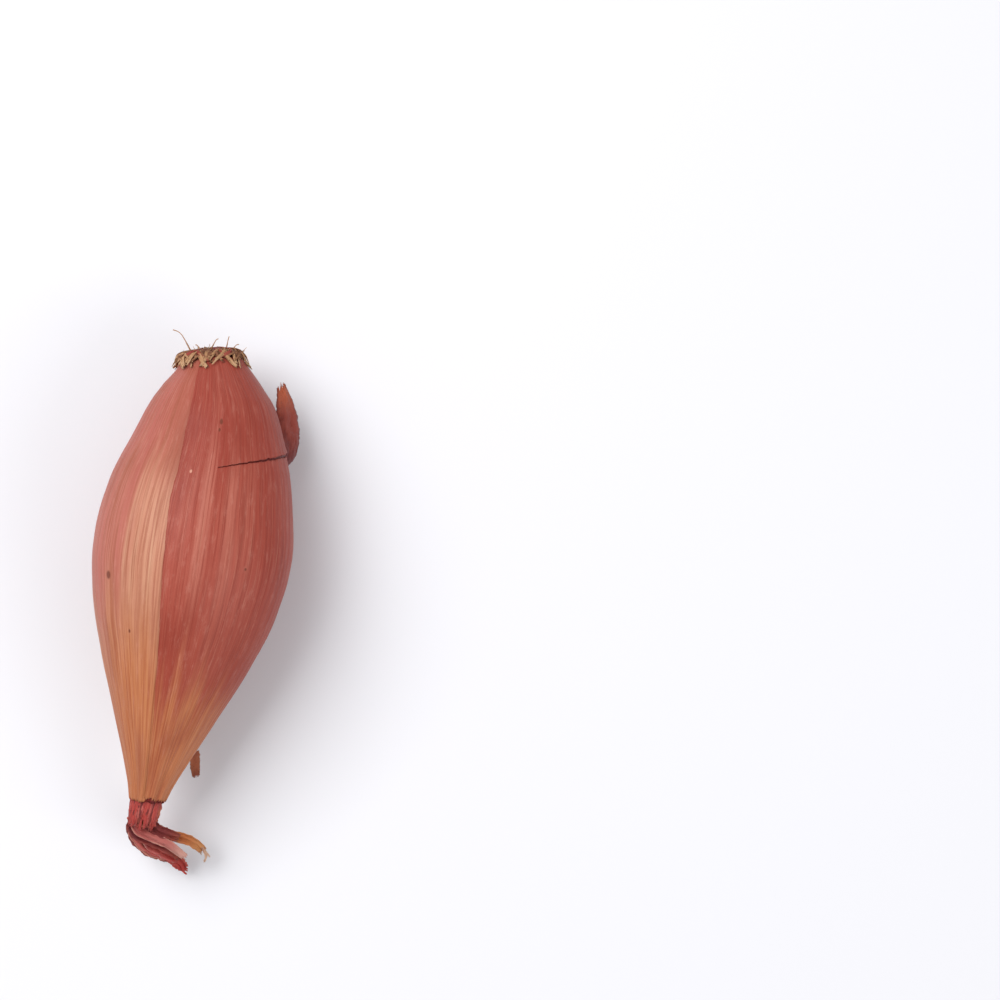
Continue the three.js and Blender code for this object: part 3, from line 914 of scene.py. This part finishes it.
def neck_fibres(name, count, material, seed, reach, width):
    """Loose fibres that start under the torn collar and lie down the top of the neck."""
    low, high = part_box("neck_stalk")
    chance = random.Random(seed)
    half_width = (high.x - low.x) / 2
    threads = []
    for number in range(count):
        angle = math.radians(chance.uniform(15, 178))
        points = []
        for share in (0.0, 0.35, 0.7, 1.0):
            along = share * reach * chance.uniform(0.7, 1.05)
            fall = max(0.0, along - 2.6) ** 1.6 * 0.22
            radius = half_width + 0.05 * MM - 0.08 * MM * along
            turned = angle + 0.12 * share
            points.append([(low.x + high.x) / 2 + radius * math.cos(turned) - 0.05 * MM * along,
                           high.y + (1.6 - along) * MM,
                           high.z - 2.05 * MM + 2.15 * MM * math.sin(turned) - fall * MM])
        up = (math.cos(angle), 0, math.sin(angle))
        threads.append(strip(f"{name}_{number}", points, (width, width, width * 0.4), up, material,
                             seed + number, dish=-0.05, wrinkle=0.12, roll=chance.uniform(-0.2, 0.2),
                             torn=0.5, columns=7, rows=36))
    return joined(name, threads)


neck_threads = [
    neck_fibres("red_neck_fibres", 30, BRIGHT_LEAF, 131, 8.0, 0.5),
    neck_fibres("dark_neck_fibres", 16, MAROON_LEAF, 171, 7.6, 0.36),
    neck_fibres("pale_neck_fibres", 12, RED_LEAF, 211, 7.4, 0.34),
]
for piece in neck_threads:
    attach(piece, "root")

# %% [markdown]
# ## Loose skin
# On the right flank a curl of outer skin stands clear of the bulb. Its colour holds painted light
# and shade: dark at its root and edges for the shade in its hollow, orange-red at its tip for light
# coming through it. A small shred hangs under the narrow end.

# %% Flap and shred
FLAP_PATH = [(0.5, 0.02, 1.1), (0.6, 0.2, 0.74), (0.48, 0.5, 0.5), (0.28, 0.78, 0.46),
             (0.06, 0.99, 0.6)]
SHRED_PATH = [(0.3, 1.1, 0.84), (0.48, 0.54, 0.48), (0.78, 0.04, 0.17)]

flap = strip("side_flap", boxed_path("skin_flap_side", FLAP_PATH), (2.6, 5.4, 0.9),
             (0.5, 0.1, 0.85), FLAP_SHADE_AND_GLOW, 53, dish=-0.8, pleats=1.5, pleat_depth=0.16, wrinkle=0.4, roll=0.35,
             torn=0.2, columns=60, rows=110)
shred = strip("neck_shred", boxed_path("skin_shred_neck", SHRED_PATH), (1.9, 2.1, 1.1), (0.5, 0, 0.8),
              SHRED_SKIN, 61, dish=0.12, pleats=1.0, pleat_depth=0.07, wrinkle=0.12, torn=0.4)
for piece, node in ((flap, "skin_flap_side"), (shred, "skin_shred_neck")):
    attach(piece, "root")
    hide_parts(node)

# %% [markdown]
# ## The dried neck
# The neck is the stub of the plant's stem: leaf sheaths dried down to a red, fluted stalk that
# comes out of the torn collar and droops. A plain tapered tube would look turned. Here rings of
# points are placed one by one along a drooping line, with flutes that deepen downwards and twist
# a little, which mesh code does in a few lines.

# %% Neck
NECK_SIDES = 144
NECK_RINGS = 60
NECK_SUNK = 2.4 * MM
NECK_TAIL = 0.5 * MM
NECK_TWIST = 0.5


def neck_mesh():
    low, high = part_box("neck_stalk")
    half_width = (high.x - low.x) / 2
    half_height = 2.1 * MM
    length = high.y - low.y + NECK_SUNK + NECK_TAIL
    vertices, faces, places = [], [], []
    for ring in range(NECK_RINGS + 1):
        share = ring / NECK_RINGS
        fallen = max(0.0, share - 0.25) / 0.75
        tight = 0.94 + 0.04 * math.cos(share * 5.5) - 0.22 * fallen ** 2
        shut = min(1.0, (1 - share) / 0.09) ** 0.5
        bent = -0.45 * MM * fallen
        tucked = max(0.0, share - 0.84) / 0.16
        centre = Vector(((low.x + high.x) / 2 + bent, high.y + NECK_SUNK - length * share,
                         high.z - half_height - fallen ** 1.6 * 2.6 * MM - 1.6 * MM * tucked ** 2))
        for side in range(NECK_SIDES):
            angle = math.tau * side / NECK_SIDES
            turned = angle + NECK_TWIST * share
            around = Vector((math.cos(turned), math.sin(turned), share * 0.6))
            flute = noise.fractal(around * 3.4, 0.6, 2.0, 5) * 0.3 + 0.07 * math.sin(turned * 13)
            crease = 0.1 * noise.noise(Vector((around.x * 1.3, around.y * 1.3, share * 7)))
            swell = tight * (1 + (0.35 + 0.65 * share) * flute + crease) * shut
            vertices.append(centre + Vector((math.cos(angle) * half_width * swell, 0,
                                             math.sin(angle) * half_height * swell)))
            places.append((math.cos(turned), math.sin(turned), share))
    for ring in range(NECK_RINGS):
        for side in range(NECK_SIDES):
            a, b = ring * NECK_SIDES + side, ring * NECK_SIDES + (side + 1) % NECK_SIDES
            faces.append((a, b, b + NECK_SIDES, a + NECK_SIDES))
    made = mesh_object("fluted_neck", vertices, faces)
    kept = made.data.attributes.new("unrolled", "FLOAT_VECTOR", "POINT")
    for item, place in zip(kept.data, places):
        item.vector = place
    closed_up(made)
    return made


def neck_material():
    material, tree, shader = principled("neck_red", 0.5, Specular_IOR_Level=0.4)
    cosine, sine, share, _ = unrolled(tree)
    fibre = grain(tree, vector(tree, cosine, sine, share * 0.35), 7.0, 6.0, 0.65)
    band = grain(tree, vector(tree, cosine, sine, share * 0.5), 2.4, 3.0)
    colour = blend(tree, band.ramp(0.42, 0.6), srgb(186, 78, 68), srgb(196, 112, 74))
    colour = blend(tree, fibre.ramp(0.42, 0.66, 0.0, 0.85), colour, srgb(134, 34, 36))
    colour = blend(tree, fibre.ramp(0.62, 0.8, 0.0, 0.6), colour, srgb(216, 150, 118))
    tree.links.new(colour, shader.inputs["Base Color"])
    bump(tree, shader, fibre, 0.25 * MM)
    return material


neck = neck_mesh()
neck.data.materials.append(neck_material())
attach(neck, "root")
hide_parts("neck_stalk")
print("neck:", len(neck.data.vertices), "points")

# %% [markdown]
# ## The dead roots
# The root plate is a corky disc under a mat of dried roots. Most are snapped to short curls, and
# a few long, thin ones wave past the shoulder. Dozens of near copies with a random lean are what
# Geometry Nodes do best: points are scattered on the plate, a straight line is put on each, and
# the lines are then bent by noise, thinned to a tip and given a round section.

# %% The rootlet tree
ROOT_INPUTS = [("Count", "Float"), ("Length", "Float"), ("Uneven", "Float"), ("Spread", "Float"),
               ("Curl", "Float"), ("Thickness", "Float"), ("Plate Centre", "Vector"),
               ("Seed", "Int"), ("Material", "Material")]


def root_tree():
    tree, given, result = new_geometry_tree("Rootlets", ROOT_INPUTS)
    new = tree.nodes.new
    scatter = new("GeometryNodeDistributePointsOnFaces")
    tree.links.new(given["Geometry"], scatter.inputs["Mesh"])
    plug(tree, given["Count"], scatter.inputs["Density"])
    tree.links.new(given["Seed"], scatter.inputs["Seed"])

    # Each rootlet leans away from the middle of the plate, more so near the rim.
    place = new("GeometryNodeInputPosition").outputs[0]
    outwards = vector_math(tree, "SUBTRACT", place, given["Plate Centre"])
    lean = vector_math(tree, "SCALE", outwards, given["Spread"] / MM * 0.16)
    random_lean = new("FunctionNodeRandomValue")
    random_lean.data_type = "FLOAT_VECTOR"
    random_lean.inputs["Min"].default_value = (-0.7, -0.1, -0.7)
    random_lean.inputs["Max"].default_value = (0.7, 0.5, 0.7)
    tree.links.new(given["Seed"], random_lean.inputs["Seed"])
    aim = vector_math(tree, "ADD", lean, (0.0, 0.75, 0.0))
    aim = vector_math(tree, "ADD", aim, random_lean.outputs["Value"])
    turn = new("FunctionNodeAlignRotationToVector")
    turn.axis = "Z"
    tree.links.new(aim, turn.inputs["Vector"])

    line = new("GeometryNodeCurvePrimitiveLine")
    line.inputs["End"].default_value = (0, 0, 1)
    fine_line = new("GeometryNodeResampleCurve")
    fine_line.inputs["Count"].default_value = 14
    tree.links.new(line.outputs[0], fine_line.inputs["Curve"])
    size = new("FunctionNodeRandomValue")
    size.data_type = "FLOAT"
    plug(tree, given["Length"] * (1.0 - given["Uneven"]), size.inputs[2])
    plug(tree, given["Length"] * (1.0 + given["Uneven"]), size.inputs[3])
    tree.links.new(given["Seed"], size.inputs["Seed"])
    place_lines = new("GeometryNodeInstanceOnPoints")
    tree.links.new(scatter.outputs["Points"], place_lines.inputs["Points"])
    tree.links.new(fine_line.outputs[0], place_lines.inputs["Instance"])
    tree.links.new(turn.outputs[0], place_lines.inputs["Rotation"])
    tree.links.new(size.outputs[1], place_lines.inputs["Scale"])
    realize = new("GeometryNodeRealizeInstances")
    tree.links.new(place_lines.outputs[0], realize.inputs[0])

    # Noise bends the free end most, and the root stays where it grew.
    factor = Num(tree, new("GeometryNodeSplineParameter").outputs["Factor"])
    wave = new("ShaderNodeTexNoise")
    wave.inputs["Scale"].default_value = 320.0
    wave.inputs["Detail"].default_value = 2.0
    tree.links.new(new("GeometryNodeInputPosition").outputs[0], wave.inputs["Vector"])
    sway = vector_math(tree, "SUBTRACT", wave.outputs["Color"], (0.5, 0.5, 0.5))
    sway = vector_math(tree, "SCALE", sway, factor * given["Curl"])
    bent = shifted(tree, realize.outputs[0], sway, "Offset")

    section = new("GeometryNodeCurvePrimitiveCircle")
    section.inputs["Resolution"].default_value = 6
    section.inputs["Radius"].default_value = 1.0
    thin = new("GeometryNodeSetCurveRadius")
    tree.links.new(bent, thin.inputs["Curve"])
    half_thickness = given["Thickness"] * (0.5 - factor * 0.38)
    plug(tree, half_thickness, thin.inputs["Radius"])
    tube = new("GeometryNodeCurveToMesh")
    tube.inputs["Fill Caps"].default_value = True
    tree.links.new(thin.outputs[0], tube.inputs["Curve"])
    tree.links.new(section.outputs[0], tube.inputs["Profile Curve"])
    if "Scale" in tube.inputs:
        plug(tree, half_thickness, tube.inputs["Scale"])
    finish_tree(tree, tube.outputs[0], given["Material"], result)
    return tree


rootlets = root_tree()
print("rootlet tree:", len(rootlets.nodes), "nodes")

# %% [markdown]
# ## Root colours
# Dead roots dry from straw to dark brown, mixed at random from one to the next. Noise in Object
# coordinates, at about the width of a root, gives each one its own shade.

# %% Root material


def root_material(name, dark, light, roughness=0.8):
    material, tree, shader = principled(name, roughness, Specular_IOR_Level=0.25)
    place = tree.nodes.new("ShaderNodeTexCoord").outputs["Object"]
    shade = grain(tree, place, 900.0, 3.0, 0.6)
    grit = grain(tree, place, 4000.0, 3.0, 0.6)
    colour = blend(tree, shade.ramp(0.36, 0.66), dark, light)
    colour = blend(tree, grit.ramp(0.5, 0.75, 0.0, 0.4), colour, dark)
    tree.links.new(colour, shader.inputs["Base Color"])
    bump(tree, shader, grit, 0.1 * MM)
    return material


ROOT_BROWN = root_material("root_brown", srgb(78, 48, 34), srgb(168, 122, 82))
ROOT_STRAW = root_material("root_straw", srgb(150, 108, 72), srgb(206, 170, 126))
PLATE_CORK = root_material("plate_cork", srgb(86, 50, 36), srgb(150, 98, 66))

print("root materials ready")

# %% [markdown]
# ## The root plate
# The plate is a low, lumpy dome of cork. It slopes with the crown, so its right side reaches
# further out. The same disc, flat and unseen, is the ground that the rootlets grow from.

# %% The root plate
PLATE_RADIUS = PLATE_SHARE * HALF_WIDTH
PLATE_CENTRE = Vector((AXIS_X + BOW[0][1] * LARGEST_BOW, ROOT_Y, AXIS_Z))


def plate_point(radius, angle, rise):
    """A point over the root plate, which slopes: its right side reaches further out."""
    x = radius * math.cos(angle)
    return PLATE_CENTRE + Vector((x, rise + CROWN_TILT * x, radius * math.sin(angle) * HEIGHT_SHARE))


def plate_disc(name, radius, rise, rings=1, sides=64, lumps=0.0):
    vertices = [plate_point(0, 0, rise)]
    faces = []
    for ring in range(1, rings + 1):
        share = ring / rings
        for side in range(sides):
            angle = math.tau * side / sides
            lump = noise.fractal(Vector((math.cos(angle), math.sin(angle), 2.0)) * share * 4, 0.7, 2.0, 4)
            ragged = noise.noise(Vector((math.cos(angle) * 3, math.sin(angle) * 3, 0)))
            edge = radius * share * (1 + 0.1 * ragged)
            height = rise * (1 - share ** 2.5 * (1 if lumps else 0)) + lumps * lump * (1 - share ** 3)
            vertices.append(plate_point(edge, angle, height))
    for side in range(sides):
        following = (side + 1) % sides
        faces.append((0, 1 + following, 1 + side))
        for ring in range(rings - 1):
            a, b = 1 + ring * sides + side, 1 + ring * sides + following
            faces.append((a, b, b + sides, a + sides))
    return mesh_object(name, vertices, faces)


plate = plate_disc("root_plate", PLATE_RADIUS, 1.5 * MM, rings=24, sides=96, lumps=0.9 * MM)
closed_up(plate)
plate.data.materials.append(PLATE_CORK)
print("plate radius in mm:", round(PLATE_RADIUS / MM, 2))

# %% [markdown]
# ## Growing the roots
# Two patches of rootlets come from the tree. The rest are papery strips, placed one by one:
# flakes hang from the rim of the plate, dead roots lie across it and over the rim, and a few long
# rootlets wave past the shoulder.

# %% Grow the roots


def root_patch(name, radius, count, length, material, seed, spread=1.0, curl=2.0, thickness=0.32,
               uneven=0.45):
    disc = plate_disc(name + "_ground", radius, 0.35 * MM)
    area = math.pi * radius ** 2 * HEIGHT_SHARE
    made = grown(name, rootlets, {
        "Count": count / area, "Length": length * MM, "Uneven": uneven, "Spread": spread,
        "Curl": curl * MM, "Thickness": thickness * MM, "Plate Centre": PLATE_CENTRE,
        "Seed": seed, "Material": material,
    }, source=disc.data.copy())
    bpy.data.objects.remove(disc)
    return made


root_pieces = [
    plate,
    root_patch("short_roots", PLATE_RADIUS * 0.9, 150, 0.9, ROOT_BROWN, 4, spread=1.5, curl=3.6,
               thickness=0.36),
    root_patch("straw_roots", PLATE_RADIUS * 0.85, 46, 1.7, ROOT_STRAW, 9, spread=2.0, curl=4.0,
               thickness=0.24),
]


def shoulder_point(share, angle, proud):
    """A point on the bulb's shoulder, or a little proud of it, near the roots."""
    for (near, near_width), (far, far_width) in zip(OUTLINE, OUTLINE[1:]):
        if share <= far:
            part = max(0.0, (share - near) / (far - near))
            radius = HALF_WIDTH * (near_width + (far_width - near_width) * part) + proud * MM
            break
    x = radius * math.cos(angle)
    bow = (BOW[0][1] + (BOW[1][1] - BOW[0][1]) * max(share, 0) / BOW[1][0]) * LARGEST_BOW
    slope = CROWN_TILT * max(0.0, 1 - max(share, 0) / CROWN_REACH) ** 2
    return [AXIS_X + bow + x, ROOT_Y - share * LENGTH + x * slope,
            AXIS_Z + radius * HEIGHT_SHARE * math.sin(angle)]


def shoulder_flakes(name, count, seed, material, long, width):
    """Papery flakes that hang from the rim of the root plate and lie on the shoulder."""
    chance = random.Random(seed)
    flakes = []
    for number in range(count):
        angle = math.tau * (number + chance.uniform(0, 0.9)) / count
        swing = chance.uniform(-0.45, 0.45)
        reach = chance.uniform(0.4, 1.0) * long
        points = [
            shoulder_point(-0.012, angle - swing * 0.3, -1.6),
            shoulder_point(-0.006, angle, 0.0),
            shoulder_point(reach * 0.5, angle + swing * 0.5, 0.25),
            shoulder_point(reach, angle + swing, 0.12 + chance.uniform(0, 0.35)),
        ]
        up = (math.cos(angle), 0.35, math.sin(angle))
        wide = width * chance.uniform(0.5, 1.3)
        flakes.append(strip(f"{name}_{number}", points, (wide, wide * 1.1, wide * 0.6), up, material,
                            seed + number, dish=-0.12, pleats=1.0, pleat_depth=0.08, wrinkle=0.25,
                            roll=chance.uniform(-0.3, 0.3), torn=0.5, columns=14, rows=26))
    return joined(name, flakes)


def wisps(name, ends, material):
    """The few long rootlets that wave past the shoulder: angle, sideways and forward reach in mm."""
    threads = []
    for number, (degrees, sideways, forward, lift) in enumerate(ends):
        angle = math.radians(degrees)
        start = plate_point(PLATE_RADIUS * 0.6, angle, 0.4 * MM)
        end = start + Vector((sideways, forward, lift)) * MM
        middle = start.lerp(end, 0.5) + Vector((0.12 * sideways, 0.34 * forward, 0.2 * lift)) * MM
        threads.append(strip(f"{name}_{number}", [list(start), list(middle), list(end)],
                             (0.34, 0.26, 0.16), (0.2, 0.1, 1), material, 80 + number, wrinkle=0.12,
                             roll=2.0, torn=0.0, columns=5, rows=40))
    return joined(name, threads)


def lying_fibres(name, count, seed, material, width, reach=0.022):
    """Dead roots that lie across the plate and hang over its rim at a slant."""
    chance = random.Random(seed)
    threads = []
    for number in range(count):
        angle = math.tau * (number + chance.uniform(0, 0.9)) / count
        sweep = chance.choice((-1, 1)) * chance.uniform(0.3, 1.3)
        inner, outer = chance.uniform(0.1, 0.7), chance.uniform(0.8, 1.05)
        points = [
            list(plate_point(PLATE_RADIUS * inner, angle, (1.9 - 1.6 * inner ** 2) * MM)),
            list(plate_point(PLATE_RADIUS * outer, angle + sweep * 0.5,
                             chance.uniform(0.3, 1.1) * MM)),
            shoulder_point(chance.uniform(0.002, reach), angle + sweep, 0.4),
        ]
        threads.append(strip(f"{name}_{number}", points, (width, width * 1.1, width * 0.5),
                             (math.cos(angle), 0.8, math.sin(angle)), material, seed + number,
                             wrinkle=0.25, roll=chance.uniform(-0.6, 0.6), torn=0.4, columns=5,
                             rows=26))
    return joined(name, threads)


root_pieces += [
    shoulder_flakes("straw_flakes", 15, 21, FLAKE_STRAW, 0.034, 1.2),
    shoulder_flakes("brown_flakes", 26, 57, FLAKE_BROWN, 0.014, 0.6),
    lying_fibres("straw_fibres", 50, 91, FLAKE_STRAW, 0.4, 0.036),
    lying_fibres("brown_fibres", 60, 117, FLAKE_BROWN, 0.36),
    lying_fibres("red_fibres", 16, 163, FLAKE_RED, 0.7),
    wisps("long_rootlets", [(196, -5.0, 4.7, -1.5), (35, 0.4, 3.6, 1.2), (352, 1.6, 2.4, -1.0),
                            (92, 1.6, 3.4, 2.0), (238, -2.0, 2.2, -3.5), (300, 3.0, 1.0, -3.0)],
          FLAKE_STRAW),
]
for piece in root_pieces:
    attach(piece, "root")
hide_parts("root_tuft")

print("root pieces:", len(root_pieces))
